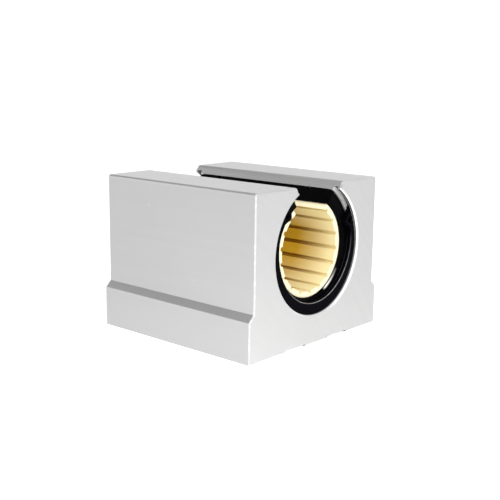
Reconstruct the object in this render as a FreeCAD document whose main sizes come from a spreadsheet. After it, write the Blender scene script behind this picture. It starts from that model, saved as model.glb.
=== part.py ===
import FreeCAD, Part
import math
import os
import Sketcher

# Open linear plain bearing block, lying on its mounting face with the shaft slot upwards.
# X runs across the block, Y along the bore and Z up from the mounting face.
# The origin is the middle of the mounting face. Lengths are millimetres, angles degrees.

SIZES = {
    # extruded housing
    "base_width": (71.0, "width over the wide foot"),
    "side_step": (2.25, "how far the foot stands out at each side"),
    "lip_height": (2.917, "top of the block above the slot's corner in the bore"),
    "block_length": (70.0, "length along the bore"),
    "step_height": (14.0, "lower edge of the side step"),
    "bore_height": (32.5, "bore centre above the mounting face"),
    "bore_diameter": (45.0, "seat of the bearing"),
    "slot_angle": (59.0, "opening for the shaft support, seen from the bore centre"),
    "edge_radius": (0.9, "round on the two long outer edges"),
    "lip_radius": (1.5, "round on the top edges of the slot"),
    "step_radius": (0.5, "round on the outer edge of the side step"),
    "end_chamfer": (0.35, "deburred outline of the sawn ends"),
    "mouth_chamfer": (0.8, "chamfer at both ends of the bore"),
    "channel_inset": (6.4, "middle of the block to a relief channel"),
    "channel_width": (10.9, "relief channel in the mounting face"),
    "channel_depth": (0.5, "relief channel in the mounting face"),
    "channel_draft": (0.4, "slope of the channel's sides"),
    # mounting holes, tapped from the mounting face
    "hole_spacing_across": (50.0, "mounting holes across the block"),
    "hole_spacing_along": (50.0, "mounting holes along the block"),
    "hole_drill": (6.8, "tap drill of an M8 hole"),
    "hole_depth": (20.0, "full depth of the tap drill"),
    "hole_mouth": (0.9, "countersink at the hole's mouth"),
    "drill_point": (118.0, "angle of the drill's point"),
    # retaining ring grooves and rings
    "ring_inset": (1.15, "end face to the ring groove"),
    "ring_groove_width": (1.85, "ring groove along the bore"),
    "ring_groove_depth": (1.25, "ring groove below the bore"),
    "ring_thickness": (1.75, "retaining ring"),
    "ring_clearance": (0.05, "ring to the bottom of its groove"),
    "ring_widest": (5.2, "ring opposite its gap"),
    "ring_narrowest": (2.0, "what the ring would be in the middle of its gap"),
    "ring_gap_angle": (96.7, "gap between the ring's two ears, at its outside"),
    "ear_slant": (26.2, "slant of the ear's end, at half the ring's radius"),
    "ear_width": (5.05, "ear from the ring's outside inwards"),
    "ear_angle": (11.3, "ear's inner edge, seen from the bore centre"),
    "ear_root_angle": (9.0, "slope from the ear back to the ring"),
    "ear_root_width": (2.9, "foot of that slope from the ring's outside"),
    "ear_radius": (1.0, "round on the ear's corners"),
    "plier_hole": (2.0, "hole in the ear for the pliers"),
    "plier_hole_inset": (2.9, "ring's outside to the plier hole"),
    "plier_hole_angle": (10.3, "gap to the plier hole"),
    "ring_edge": (0.2, "chamfer on the ring's stamped edges"),
    "front_ring_turn": (-8.6, "how far the front ring sits turned in its groove"),
    "rear_ring_turn": (6.0, "how far the rear ring sits turned in its groove"),
    # bearing sleeve
    "sleeve_clearance": (0.02, "sleeve to the bore of the block, on the radius"),
    "sleeve_chamfer": (1.0, "outer chamfer at the sleeve's ends"),
    "sleeve_mouth": (0.88, "inner chamfer at the sleeve's ends, on the radius"),
    "sleeve_slot_angle": (61.0, "opening of the sleeve"),
    "band_inset": (9.75, "end of the sleeve to a groove round it"),
    "band_width": (1.85, "groove round the sleeve"),
    "band_depth": (0.98, "groove round the sleeve"),
    # sliding liner
    "liner_wall": (2.07, "sliding land to the outside of the liner"),
    "liner_clearance": (0.02, "liner to the sleeve, on the radius"),
    "liner_inset": (0.95, "end of the sleeve to the end of the liner"),
    "land_diameter": (30.06, "sliding lands, for a 30 mm shaft"),
    "liner_edge": (0.3, "chamfer at the liner's ends"),
    "liner_slot_angle": (65.0, "opening of the liner"),
    "dirt_groove_width": (1.5, "lengthwise groove at the land"),
    "dirt_groove_floor": (1.15, "lengthwise groove at its floor"),
    "dirt_groove_depth": (0.85, "lengthwise groove"),
    "dirt_groove_count": (18.0, "grooves that a full circle would have"),
    "dirt_groove_phase": (-7.2, "direction of the first groove"),
    # locating screw in the side of the block
    "screw_drill": (5.0, "tap drill of an M6 hole"),
    "screw_mouth": (0.6, "countersink at the hole's mouth"),
    "screw_inset": (1.74, "flank of the block to the set screw"),
    "screw_clearance": (0.02, "screw to its hole, on the radius"),
    "screw_tip": (1.2, "flat on the screw's point"),
    "screw_end_chamfer": (0.4, "chamfer at the socket end"),
    "socket_width": (3.0, "hexagon socket, across flats"),
    "socket_depth": (3.5, "hexagon socket"),
    "dimple_depth": (1.6, "seat of the screw's point in the sleeve"),
    "dimple_clearance": (0.03, "screw's point to its seat"),
}

# Lengths that follow from the sizes, as expressions for the sketches.
HALF_LENGTH = "sizes.block_length / 2"
HALF_BASE = "sizes.base_width / 2"
HALF_UPPER = "(sizes.base_width / 2 - sizes.side_step)"
STEP_TOP = "sizes.step_height + sizes.side_step"
BORE_RADIUS = "sizes.bore_diameter / 2"
TOP_ABOVE_BORE = "(" + BORE_RADIUS + " * cos(sizes.slot_angle / 2) + sizes.lip_height)"
BLOCK_TOP = "(sizes.bore_height + " + TOP_ABOVE_BORE + ")"
GROOVE_RADIUS = "(" + BORE_RADIUS + " + sizes.ring_groove_depth)"
RING_RADIUS = "(" + GROOVE_RADIUS + " - sizes.ring_clearance)"
RING_HOLE_RADIUS = "(" + RING_RADIUS + " - (sizes.ring_widest + sizes.ring_narrowest) / 2)"
RING_OFFSET = "((sizes.ring_widest - sizes.ring_narrowest) / 2)"
RING_SEAT = HALF_LENGTH + " - sizes.ring_inset"
SLEEVE_END = "(" + RING_SEAT + " - sizes.ring_groove_width)"
SLEEVE_RADIUS = "(" + BORE_RADIUS + " - sizes.sleeve_clearance)"
LINER_END = "(" + SLEEVE_END + " - sizes.liner_inset)"
LAND_RADIUS = "sizes.land_diameter / 2"
LINER_RADIUS = "(" + LAND_RADIUS + " + sizes.liner_wall)"
SLEEVE_BORE = "(" + LINER_RADIUS + " + sizes.liner_clearance)"
BAND_RADIUS = "(" + SLEEVE_RADIUS + " - sizes.band_depth)"
SCREW_RADIUS = "(sizes.screw_drill / 2 - sizes.screw_clearance)"
DIMPLE_BOTTOM = "(" + SLEEVE_RADIUS + " - sizes.dimple_depth)"
SCREW_TIP = "(" + DIMPLE_BOTTOM + " + sizes.screw_tip / 2 + sizes.dimple_clearance)"
SCREW_END = "(" + HALF_UPPER + " - sizes.screw_inset)"

# A cut runs this much past the surface that it opens.
OVERCUT = "1"

doc = FreeCAD.newDocument("LinearBearingBlock")


def make_size_sheet():
    """Write every driving size into the sheet: note, value and alias on one row each."""
    sheet = doc.addObject("Spreadsheet::Sheet", "sizes")
    for row, (alias, (value, note)) in enumerate(SIZES.items(), start=1):
        sheet.set("A%d" % row, note)
        sheet.set("B%d" % row, str(value))
        sheet.setAlias("B%d" % row, alias)
    doc.recompute()
    return sheet


def make_body(label):
    """Start one sub-part."""
    body = doc.addObject("PartDesign::Body", label)
    body.Label = label
    return body


def add_sketch(body, name, role, lift=None, turn=None):
    """Attach a sketch to one of the body's own planes, lifted and turned by expressions."""
    sketch = body.newObject("Sketcher::SketchObject", name)
    plane = next(item for item in body.Origin.OriginFeatures if item.Role == role)
    sketch.AttachmentSupport = [(plane, "")]
    sketch.MapMode = "FlatFace"
    sketch.AttachmentOffset = FreeCAD.Placement(FreeCAD.Vector(), FreeCAD.Rotation(FreeCAD.Vector(0, 0, 1), 1))
    sketch.setExpression("AttachmentOffset.Rotation.Angle", turn or "0")
    if lift:
        sketch.setExpression("AttachmentOffset.Base.y", lift)
    doc.recompute()
    return sketch


def dimension(sketch, kind, expression, *where):
    """Add one driven dimension to a sketch."""
    value = float(sketch.evalExpression(expression))
    index = sketch.addConstraint(Sketcher.Constraint(kind, *where, value))
    sketch.setExpression("Constraints[%d]" % index, expression)


def place_point(sketch, geometry, vertex, across, up):
    """Dimension one point of a sketch from the sketch's origin."""
    dimension(sketch, "DistanceX", across, -1, 1, geometry, vertex)
    dimension(sketch, "DistanceY", up, -1, 1, geometry, vertex)


def draw_outline(sketch, corners):
    """Draw a closed outline of straight lines through corners given as pairs of expressions."""
    points = []
    for across, up in corners:
        x = float(sketch.evalExpression(across))
        y = float(sketch.evalExpression(up))
        points.append(FreeCAD.Vector(x, y, 0))
    first = sketch.GeometryCount
    count = len(points)
    for index in range(count):
        sketch.addGeometry(Part.LineSegment(points[index], points[(index + 1) % count]), False)
    for index in range(count):
        following = first + (index + 1) % count
        sketch.addConstraint(Sketcher.Constraint("Coincident", first + index, 2, following, 1))
    for index, (across, up) in enumerate(corners):
        place_point(sketch, first + index, 1, across, up)


def draw_circle(sketch, across, up, diameter):
    """Draw a circle whose centre and diameter are expressions."""
    x = float(sketch.evalExpression(across))
    y = float(sketch.evalExpression(up))
    radius = float(sketch.evalExpression(diameter)) / 2
    centre = FreeCAD.Vector(x, y, 0)
    index = sketch.addGeometry(Part.Circle(centre, FreeCAD.Vector(0, 0, 1), radius), False)
    place_point(sketch, index, 3, across, up)
    dimension(sketch, "Diameter", diameter, index)


def mirror_along(corners):
    """Repeat an outline at the other end of the bore."""
    return [("-(" + along + ")", out) for along, out in corners]


def polar(reach, angle):
    """Place a point at a distance from the origin and an angle clockwise from straight up."""
    return ("(%s) * sin(%s)" % (reach, angle), "(%s) * cos(%s)" % (reach, angle))


def pad(body, sketch, length):
    """Extrude a sketch evenly to both sides."""
    feature = body.newObject("PartDesign::Pad", sketch.Name + "_pad")
    feature.Profile = sketch
    feature.SideType = "Symmetric"
    feature.setExpression("Length", length)
    doc.recompute()
    return feature


def cut_through(body, sketch, length):
    """Cut a sketch evenly to both sides, over a length that passes right through."""
    feature = body.newObject("PartDesign::Pocket", sketch.Name + "_cut")
    feature.Profile = sketch
    feature.SideType = "Symmetric"
    feature.setExpression("Length", length)
    doc.recompute()
    return feature


def turn_solid(body, sketch):
    """Revolve a sketch once round its own horizontal axis."""
    feature = body.newObject("PartDesign::Revolution", sketch.Name + "_turned")
    feature.Profile = sketch
    feature.ReferenceAxis = (sketch, ["H_Axis"])
    feature.Angle = 360
    doc.recompute()
    return feature


def turn_cut(body, sketch):
    """Cut a sketch away once round its own horizontal axis."""
    feature = body.newObject("PartDesign::Groove", sketch.Name + "_turned_cut")
    feature.Profile = sketch
    feature.ReferenceAxis = (sketch, ["H_Axis"])
    feature.Angle = 360
    doc.recompute()
    return feature


def round_edges(body, base, names, radius):
    """Fillet named edges of a feature."""
    feature = body.newObject("PartDesign::Fillet", base.Name + "_rounds")
    feature.Base = (base, names)
    feature.setExpression("Radius", radius)
    doc.recompute()
    return feature


def break_edges(body, base, names, size):
    """Chamfer named edges of a feature."""
    feature = body.newObject("PartDesign::Chamfer", base.Name + "_breaks")
    feature.Base = (base, names)
    feature.setExpression("Size", size)
    doc.recompute()
    return feature


def edges_where(shape, test):
    """Name the edges of a shape that pass a test."""
    return ["Edge%d" % (index + 1) for index, edge in enumerate(shape.Edges) if test(edge)]


def size_of(expression):
    """Read an expression's present value."""
    return float(sizes.evalExpression(expression.replace("sizes.", "")))


def long_edges_at(shape, places):
    """Name the edges that run along the bore at the given places across and up."""
    def test(edge):
        box = edge.BoundBox
        if box.YLength < 1 or box.XLength > 1e-4 or box.ZLength > 1e-4:
            return False
        return any(math.hypot(box.Center.x - x, box.Center.z - z) < 1e-3 for x, z in places)
    return edges_where(shape, test)


def cut_slot(body, name, angle, outside):
    """Cut the wedge of a slot upwards from the bore centre, between two planes through its axis."""
    sketch = add_sketch(body, name, "XZ_Plane", "sizes.bore_height")
    rise = outside + " + " + OVERCUT
    spread = "(%s) * tan(%s / 2)" % (rise, angle)
    draw_outline(sketch, [("0", "0"), (spread, rise), ("-" + spread, rise)])
    return cut_through(body, sketch, "sizes.block_length + 2 * " + OVERCUT)


def make_housing():
    """Extruded aluminium block: stepped sides, slot, bore with ring grooves, tapped holes."""
    body = make_body("housing")
    outline = add_sketch(body, "profile", "XZ_Plane")
    right = [(HALF_BASE, "0"), (HALF_BASE, "sizes.step_height")]
    right += [(HALF_UPPER, STEP_TOP), (HALF_UPPER, BLOCK_TOP)]
    left = [("-" + across, up) for across, up in reversed(right)]
    draw_outline(outline, right + left)
    pad(body, outline, "sizes.block_length")
    slot = cut_slot(body, "slot", "sizes.slot_angle", TOP_ABOVE_BORE)

    half_upper = size_of(HALF_UPPER)
    half_base = size_of(HALF_BASE)
    top = size_of(BLOCK_TOP)
    lip = size_of(TOP_ABOVE_BORE + " * tan(sizes.slot_angle / 2)")
    names = long_edges_at(slot.Shape, [(half_upper, top), (-half_upper, top)])
    outer = round_edges(body, slot, names, "sizes.edge_radius")
    names = long_edges_at(outer.Shape, [(lip, top), (-lip, top)])
    lips = round_edges(body, outer, names, "sizes.lip_radius")
    step = size_of("sizes.step_height")
    names = long_edges_at(lips.Shape, [(half_base, step), (-half_base, step)])
    steps = round_edges(body, lips, names, "sizes.step_radius")

    def on_an_end(edge):
        box = edge.BoundBox
        return box.YLength < 1e-4 and abs(abs(box.Center.y) - size_of(HALF_LENGTH)) < 1e-4
    break_edges(body, steps, edges_where(steps.Shape, on_an_end), "sizes.end_chamfer")

    bore = add_sketch(body, "bore", "XZ_Plane", "sizes.bore_height")
    draw_circle(bore, "0", "0", "sizes.bore_diameter")
    cut_through(body, bore, "sizes.block_length + 2 * " + OVERCUT)

    grooves = add_sketch(body, "bore_ends", "YZ_Plane", "sizes.bore_height")
    inside = BORE_RADIUS + " - " + OVERCUT
    ring = [(RING_SEAT, inside), (RING_SEAT, GROOVE_RADIUS)]
    ring += [(SLEEVE_END, GROOVE_RADIUS), (SLEEVE_END, inside)]
    mouth = [(HALF_LENGTH + " - sizes.mouth_chamfer - " + OVERCUT, inside)]
    mouth += [(HALF_LENGTH + " + " + OVERCUT, BORE_RADIUS + " + sizes.mouth_chamfer + " + OVERCUT)]
    mouth += [(HALF_LENGTH + " + " + OVERCUT, inside)]
    for loop in (ring, mouth):
        draw_outline(grooves, loop)
        draw_outline(grooves, mirror_along(loop))
    turn_cut(body, grooves)

    channels = add_sketch(body, "relief_channels", "XZ_Plane")
    near = "sizes.channel_inset"
    far = near + " + sizes.channel_width"
    under = "-" + OVERCUT
    for side in ("", "-"):
        corners = [(near, under), (near, "0")]
        corners += [("(" + near + " + sizes.channel_draft)", "sizes.channel_depth")]
        corners += [("(" + far + " - sizes.channel_draft)", "sizes.channel_depth")]
        corners += [("(" + far + ")", "0"), ("(" + far + ")", under)]
        draw_outline(channels, [(side + across, up) for across, up in corners])
    cut_through(body, channels, "sizes.block_length + 2 * " + OVERCUT)

    pattern = add_sketch(body, "mounting_holes", "XY_Plane")
    for across in ("", "-"):
        for along in ("", "-"):
            x = across + "sizes.hole_spacing_across / 2"
            y = along + "sizes.hole_spacing_along / 2"
            draw_circle(pattern, x, y, "sizes.hole_drill")
    doc.recompute()
    holes = body.newObject("PartDesign::Hole", "tapped_holes")
    holes.Profile = pattern
    holes.Reversed = True
    holes.DepthType = "Dimension"
    holes.DrillPoint = "Angled"
    holes.HoleCutType = "Countersink"
    holes.HoleCutCustomValues = True
    holes.setExpression("Diameter", "sizes.hole_drill")
    holes.setExpression("Depth", "sizes.hole_depth")
    holes.setExpression("DrillPointAngle", "sizes.drill_point")
    holes.setExpression("HoleCutDiameter", "sizes.hole_drill + 2 * sizes.hole_mouth")
    holes.HoleCutCountersinkAngle = 90
    doc.recompute()

    side = add_sketch(body, "screw_hole", "XZ_Plane", "sizes.bore_height")
    radius = "sizes.screw_drill / 2"
    outside = HALF_UPPER + " + " + OVERCUT
    wide = radius + " + sizes.screw_mouth + " + OVERCUT
    corners = [("0", "0"), ("0", radius), (HALF_UPPER + " - sizes.screw_mouth", radius)]
    corners += [(outside, wide), (outside, "0")]
    draw_outline(side, corners)
    turn_cut(body, side)
    return body


def make_sleeve():
    """Turned sleeve: standard outside with two grooves, chamfered mouths, slot and screw seat."""
    body = make_body("bearing_sleeve")
    section = add_sketch(body, "sleeve_section", "YZ_Plane", "sizes.bore_height")
    half = [(SLEEVE_END + " - sizes.liner_inset", SLEEVE_BORE), (SLEEVE_END, SLEEVE_BORE + " + sizes.sleeve_mouth")]
    half += [(SLEEVE_END, SLEEVE_RADIUS + " - sizes.sleeve_chamfer")]
    half += [(SLEEVE_END + " - sizes.sleeve_chamfer", SLEEVE_RADIUS)]
    band_outer = SLEEVE_END + " - sizes.band_inset"
    band_inner = band_outer + " - sizes.band_width"
    half += [(band_outer, SLEEVE_RADIUS), (band_outer, BAND_RADIUS)]
    half += [(band_inner, BAND_RADIUS), (band_inner, SLEEVE_RADIUS)]
    draw_outline(section, half + list(reversed(mirror_along(half))))
    turn_solid(body, section)
    cut_slot(body, "sleeve_slot", "sizes.sleeve_slot_angle", SLEEVE_RADIUS)
    dimple = add_sketch(body, "screw_seat", "XZ_Plane", "sizes.bore_height")
    outside = SLEEVE_RADIUS + " + " + OVERCUT
    corners = [(DIMPLE_BOTTOM, "0"), (outside, "sizes.dimple_depth + " + OVERCUT), (outside, "0")]
    draw_outline(dimple, corners)
    turn_cut(body, dimple)
    return body


def make_liner():
    """Polymer liner: a slotted tube with lengthwise grooves between its sliding lands."""
    body = make_body("bearing_liner")
    section = add_sketch(body, "liner_section", "YZ_Plane", "sizes.bore_height")
    half = [(LINER_END + " - sizes.liner_edge", LAND_RADIUS)]
    half += [(LINER_END, LAND_RADIUS + " + sizes.liner_edge")]
    half += [(LINER_END, LINER_RADIUS + " - sizes.liner_edge / 2")]
    half += [(LINER_END + " - sizes.liner_edge / 2", LINER_RADIUS)]
    draw_outline(section, half + list(reversed(mirror_along(half))))
    turn_solid(body, section)

    groove = add_sketch(body, "dirt_groove", "XZ_Plane", "sizes.bore_height", "sizes.dirt_groove_phase")
    mouth = LAND_RADIUS + " - " + OVERCUT
    floor = LAND_RADIUS + " + sizes.dirt_groove_depth"
    corners = [(mouth, "-sizes.dirt_groove_width / 2"), (floor, "-sizes.dirt_groove_floor / 2")]
    corners += [(floor, "sizes.dirt_groove_floor / 2"), (mouth, "sizes.dirt_groove_width / 2")]
    draw_outline(groove, corners)
    one = cut_through(body, groove, "sizes.block_length")
    pattern = body.newObject("PartDesign::PolarPattern", "dirt_grooves")
    pattern.Originals = [one]
    pattern.Axis = (groove, ["N_Axis"])
    pattern.Angle = 360
    pattern.setExpression("Occurrences", "sizes.dirt_groove_count")
    body.Tip = pattern
    doc.recompute()
    cut_slot(body, "liner_slot", "sizes.liner_slot_angle", LINER_RADIUS)
    return body


def make_ring(label, turn, back):
    """Internal retaining ring: wide opposite its gap, with an ear and plier hole at each end."""
    body = make_body(label)
    blank = add_sketch(body, label + "_blank", "XZ_Plane")
    draw_circle(blank, "0", "0", "2 * " + RING_RADIUS)
    draw_circle(blank, "0", RING_OFFSET, "2 * " + RING_HOLE_RADIUS)
    pad(body, blank, "sizes.ring_thickness")

    ears = add_sketch(body, label + "_ears", "XZ_Plane")
    gap = "sizes.ring_gap_angle / 2"
    tip = gap + " + sizes.ear_angle"
    root = tip + " + sizes.ear_root_angle"
    outside = RING_RADIUS + " - " + OVERCUT
    inside = RING_RADIUS + " - sizes.ear_width"
    for side in ("", "-"):
        corners = [polar(inside, side + "(" + gap + ")"), polar(inside, side + "(" + tip + ")")]
        corners += [polar(RING_RADIUS + " - sizes.ear_root_width", side + "(" + root + ")")]
        corners += [polar(outside, side + "(" + root + ")"), polar(outside, side + "(" + gap + ")")]
        draw_outline(ears, corners)
    pad(body, ears, "sizes.ring_thickness")

    opening = add_sketch(body, label + "_gap", "XZ_Plane")
    reach = RING_RADIUS + " + " + OVERCUT
    across, rise = polar(reach, gap)
    inner_across, inner_rise = polar(RING_RADIUS + " / 2", gap + " + sizes.ear_slant")
    corners = [("0", "0"), (inner_across, inner_rise), (across, rise), (across, reach)]
    corners += [("-(" + across + ")", reach), ("-(" + across + ")", rise), ("-(" + inner_across + ")", inner_rise)]
    draw_outline(opening, corners)
    ends = cut_through(body, opening, "2 * sizes.ring_thickness")

    def is_ear_corner(edge):
        box = edge.BoundBox
        if box.YLength < 1e-4 or box.XLength > 1e-4 or box.ZLength > 1e-4:
            return False
        return math.hypot(box.Center.x, box.Center.z) < size_of(RING_HOLE_RADIUS + " + " + RING_OFFSET)
    round_edges(body, ends, edges_where(ends.Shape, is_ear_corner), "sizes.ear_radius")

    plier = add_sketch(body, label + "_plier_holes", "XZ_Plane")
    for side in ("", "-"):
        reach = RING_RADIUS + " - sizes.plier_hole_inset"
        across, up = polar(reach, side + "(" + gap + " + sizes.plier_hole_angle)")
        draw_circle(plier, across, up, "sizes.plier_hole")
    drilled = cut_through(body, plier, "2 * sizes.ring_thickness")

    def is_flat_outline(edge):
        box = edge.BoundBox
        return box.YLength < 1e-4 and edge.Length > size_of("sizes.ring_edge")
    break_edges(body, drilled, edges_where(drilled.Shape, is_flat_outline), "sizes.ring_edge")

    body.Placement = FreeCAD.Placement(FreeCAD.Vector(), FreeCAD.Rotation(FreeCAD.Vector(0, -1, 0), 1))
    body.setExpression("Placement.Rotation.Angle", turn)
    body.setExpression("Placement.Base.y", back)
    body.setExpression("Placement.Base.z", "sizes.bore_height")
    doc.recompute()
    return body


def make_locating_screw():
    """Set screw with a hexagon socket: its point sits in the sleeve and stops it turning."""
    body = make_body("locating_screw")
    section = add_sketch(body, "screw_section", "XZ_Plane", "sizes.bore_height")
    shoulder = SCREW_TIP + " + " + SCREW_RADIUS + " - sizes.screw_tip / 2"
    corners = [(SCREW_TIP, "0"), (SCREW_TIP, "sizes.screw_tip / 2"), (shoulder, SCREW_RADIUS)]
    corners += [(SCREW_END + " - sizes.screw_end_chamfer", SCREW_RADIUS)]
    corners += [(SCREW_END, SCREW_RADIUS + " - sizes.screw_end_chamfer"), (SCREW_END, "0")]
    draw_outline(section, corners)
    turn_solid(body, section)

    socket = add_sketch(body, "socket", "YZ_Plane", "sizes.bore_height")
    socket.setExpression("AttachmentOffset.Base.z", SCREW_END)
    doc.recompute()
    corner_reach = "sizes.socket_width / 2 / cos(30)"
    draw_outline(socket, [polar(corner_reach, str(60 * side)) for side in range(6)])
    drive = body.newObject("PartDesign::Pocket", "socket_cut")
    drive.Profile = socket
    drive.setExpression("Length", "sizes.socket_depth")
    doc.recompute()
    return body


sizes = make_size_sheet()
parts = [make_housing(), make_sleeve(), make_liner()]
ring_middle = "(" + RING_SEAT + " - sizes.ring_thickness / 2)"
parts.append(make_ring("front_circlip", "sizes.front_ring_turn", "-" + ring_middle))
parts.append(make_ring("rear_circlip", "sizes.rear_ring_turn", ring_middle))
parts.append(make_locating_screw())
doc.recompute()

for item in doc.Objects:
    if "Invalid" in item.State or "Error" in item.State:
        raise RuntimeError("%s failed: %s" % (item.Name, item.State))
os.makedirs("parts", exist_ok=True)
for part in parts:
    shape = part.Shape
    if shape.isNull() or not shape.isValid():
        raise RuntimeError("%s has no valid shape" % part.Label)
    shape.exportStep("parts/%s.step" % part.Label)
    print("%-16s %10.1f mm3, %d solid, %d faces" % (part.Label, shape.Volume, len(shape.Solids), len(shape.Faces)))
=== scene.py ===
"""Open linear bearing block on a pale floor.

Shapes are worked out in millimetres: X across the block, Y along the bore, Z up. A "turn" is an angle about the
bore's axis, clockwise from straight up as seen from the front end, which is the one at -Y. A flat outline holds
pairs (across, rise), with rise counted from the bore's axis.
"""
import math

import bmesh
import bpy
import numpy as np
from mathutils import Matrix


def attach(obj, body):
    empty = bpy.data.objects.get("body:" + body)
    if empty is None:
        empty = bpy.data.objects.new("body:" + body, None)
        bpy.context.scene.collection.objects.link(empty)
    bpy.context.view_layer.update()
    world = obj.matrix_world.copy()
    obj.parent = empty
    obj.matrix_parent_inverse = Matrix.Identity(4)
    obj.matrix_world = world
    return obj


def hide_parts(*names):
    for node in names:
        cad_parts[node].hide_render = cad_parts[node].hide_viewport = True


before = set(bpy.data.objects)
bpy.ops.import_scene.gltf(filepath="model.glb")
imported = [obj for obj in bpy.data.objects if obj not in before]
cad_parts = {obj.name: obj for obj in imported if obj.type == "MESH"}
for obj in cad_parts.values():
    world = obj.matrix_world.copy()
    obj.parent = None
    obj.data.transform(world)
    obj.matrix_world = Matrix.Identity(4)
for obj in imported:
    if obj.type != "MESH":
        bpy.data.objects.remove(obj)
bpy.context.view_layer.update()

MM = 0.001

# Sizes of the real pieces, in millimetres, with angles in radians. Round things are given by their radius, slots and
# gaps by half their opening, and places along the bore by their distance from the block's middle.

# the housing's outline: rises from the bore's axis, half widths, and the channels underneath
TOP = 22.5
STEP = -18.5
BOTTOM = -32.5
HALF_FOOT = 35.5
HALF_BODY = 33.25
LIP_RADIUS = 1.5
SHOULDER_RADIUS = 0.9
STEP_RADIUS = 0.15
FOOT_RADIUS = 0.5
CHANNEL = (6.4, 17.3)
CHANNEL_DEPTH = 0.5
CHANNEL_DRAFT = 0.4

# the housing's length, the height of its bore's axis above the mounting face, its bore and its end faces' edges
HALF_LENGTH = 35.0
BORE_CENTRE = 32.5
BORE = 22.5
MOUTH = 0.8
EDGE = 0.4
HOUSING_SLOT = math.radians(29.5)
RING_GROOVE = 23.75
RING_SEAT = (33.85, 32.0)

# tapped holes: their distance from the block's middle both ways, their thread's height, and depths below the face
HOLE_SPACING = 25
HOLE = 3.4
HOLE_MOUTH = 4.3
HOLE_PITCH = 1.25
HOLE_RELIEF = 0.6
HOLE_THREAD = 17.4
HOLE_DEPTH = 20
HOLE_POINT = 22

# the screw and its hole: depths below the flank, half its socket's width, and its ends' places across the block
SCREW_HOLE = 2.5
SCREW_MOUTH = 3.1
SCREW_RELIEF = 0.42
SCREW_THREAD = 4.4
SCREW = 2.48
SCREW_PITCH = 1.0
SCREW_SOCKET = 1.5
SCREW_END = 31.51
SCREW_TIP = 21.51

# half the side of the square of surface that is left for each hole, and the points along each of its sides
HOLE_ROOM = 5
SCREW_ROOM = 4
ROOM_POINTS = 13

# sleeve and liner; the liner's grooves have half widths at their mouth and floor
SLEEVE_END = 32.0
SLEEVE = 22.48
SLEEVE_BORE = 17.12
SLEEVE_MOUTH = 0.88
SLEEVE_CHAMFER = 1.0
SLEEVE_SLOT = math.radians(30.5)
BAND = (20.4, 22.25)
BAND_DEPTH = 0.98
LINER = 17.1
LINER_END = 31.05
LINER_SLOT = math.radians(32.5)
LAND = 15.03
GROOVES = 18
GROOVE_DEPTH = 0.85
GROOVE_MOUTH = 0.75
GROOVE_FLOOR = 0.575

# retaining rings: the hole in the ring is moved towards the gap, and the ears reach further in
RING = 23.7
RING_HOLE = 20.1
RING_SHIFT = 1.6
RING_THICKNESS = 1.75
RING_GAP = math.radians(96.7 / 2)
EAR = 18.65
EAR_ROOT = 20.69
PLIER_REACH = 20.8
PLIER_TURN = math.radians(10.3)
PLIER_HOLE = 1.0

# places of the finishes in the housing's list, and in the rings'
SKIN, SAWN, CUT = 0, 1, 2
ROUNDED, STAMPED = 0, 1

# edges that bend by more than this are sharp
CREASE = math.radians(30)


# ---------------------------------------------------------------- shapes

def at_turn(reach, turn):
    """Outline points at a reach from the axis: (reach sin turn, reach cos turn)."""
    reach, turn = np.broadcast_arrays(reach, turn)
    return np.stack([reach * np.sin(turn), reach * np.cos(turn)], axis=-1)


def standing(outline, along):
    """Outline points carried to a place along the bore: (across, along, bore centre + rise)."""
    across, along = np.broadcast_arrays(outline[..., 0], along)
    return np.stack([across, along, outline[..., 1] + BORE_CENTRE], axis=-1)


def rounded(corners, radii, steps=7):
    """An outline whose inner corners are replaced by arcs of the given radii.

    With h half the corner's angle, the arc starts radius / tan h before the corner, and its centre lies radius / sin h
    from the corner on the bisector. The arc's points are spherical blends of its two end directions.
    """
    corners = np.asarray(corners, float)
    runs = [corners[:1]]
    for before, corner, after, radius in zip(corners, corners[1:], corners[2:], radii):
        back = (before - corner) / np.linalg.norm(before - corner)
        on = (after - corner) / np.linalg.norm(after - corner)
        half = math.acos(np.clip(back @ on, -1, 1)) / 2
        centre = corner + (back + on) / np.linalg.norm(back + on) * radius / math.sin(half)
        start = corner + back * radius / math.tan(half) - centre
        end = corner + on * radius / math.tan(half) - centre
        swing = math.pi - 2 * half
        t = np.linspace(0, 1, steps + 1)[:, None]
        runs.append(centre + (np.sin((1 - t) * swing) * start + np.sin(t * swing) * end) / math.sin(swing))
    runs.append(corners[-1:])
    return np.concatenate(runs)


def filled(outline, step, margin):
    """An outline with more points: one a margin away from each corner, and even steps in between.

    Points are read off the outline at their arc lengths, so straight runs stay straight.
    """
    corner = np.r_[0, np.cumsum(np.linalg.norm(np.diff(outline, axis=0), axis=1))]
    long = np.diff(corner) > 3 * margin
    fixed = np.r_[corner, corner[:-1][long] + margin, corner[1:][long] - margin]
    even = np.arange(step, corner[-1], step)
    even = even[np.abs(even[:, None] - fixed).min(axis=1) > margin / 2]
    along = np.unique(np.round(np.r_[fixed, even], 7))
    return np.stack([np.interp(along, corner, outline[:, 0]), np.interp(along, corner, outline[:, 1])], axis=-1)


def inward_of(loop):
    """For a closed outline, the step of each point that moves both its sides inwards by one.

    With n1 and n2 the inward normals of the two sides, the step is (n1 + n2) / (1 + n1 . n2).
    """
    side = np.roll(loop, -1, axis=0) - loop
    side /= np.linalg.norm(side, axis=1)[:, None]
    area = np.sum(loop[:, 0] * np.roll(loop[:, 1], -1) - loop[:, 1] * np.roll(loop[:, 0], -1))
    normal = np.stack([-side[:, 1], side[:, 0]], axis=-1) * np.sign(area)
    before = np.roll(normal, 1, axis=0)
    return (before + normal) / (1 + np.sum(before * normal, axis=1))[:, None]


def between(inner, outer, shares):
    """Rows of points from an inner line to an outer one: inner + share (outer - inner)."""
    return inner[None] + np.asarray(shares)[:, None, None] * (outer - inner)[None]


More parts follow.
